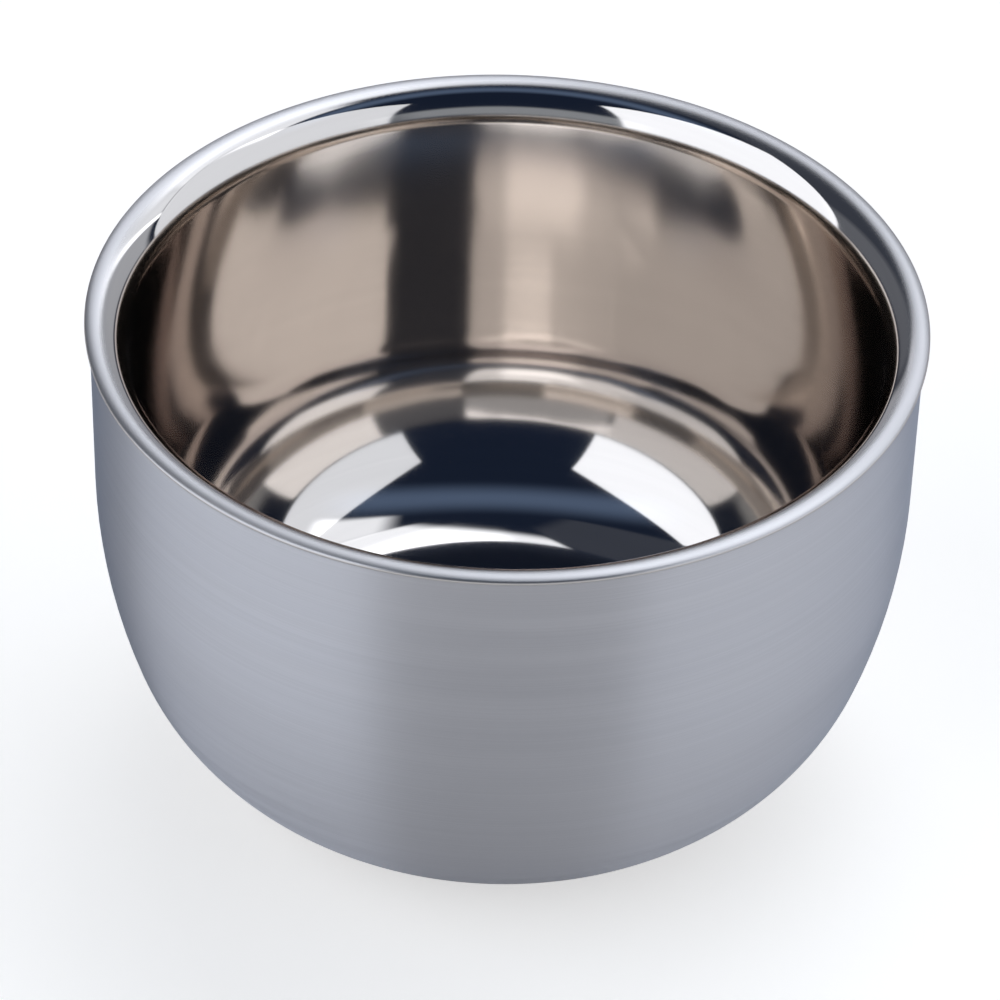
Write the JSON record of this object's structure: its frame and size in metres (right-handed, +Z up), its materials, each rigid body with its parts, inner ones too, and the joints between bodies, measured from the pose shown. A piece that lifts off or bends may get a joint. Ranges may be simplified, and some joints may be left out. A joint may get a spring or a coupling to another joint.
{
  "type": "shaving bowl",
  "caption": "Round double-wall stainless steel shaving bowl with a satin jacket, mirror-polished inside, rounded polished lip and flat foot ring; no handle",
  "frame": {"origin": "centre of the foot ring, on the surface that the bowl stands on", "axes": "+Z up along the bowl's axis of revolution; X and Y are alike"},
  "size_m": [0.08, 0.08, 0.05],
  "materials": {
    "polished_steel": "mirror polished",
    "satin_steel": "satin, spun in rings",
    "sealant": "matt",
    "plug_steel": "semi-polished"
  },
  "bodies": {
    "root": {"inner_bowl": "polished_steel", "outer_shell": "satin_steel", "rim_seal": "sealant", "vent_plug": "plug_steel"}
  },
  "joints": []
}
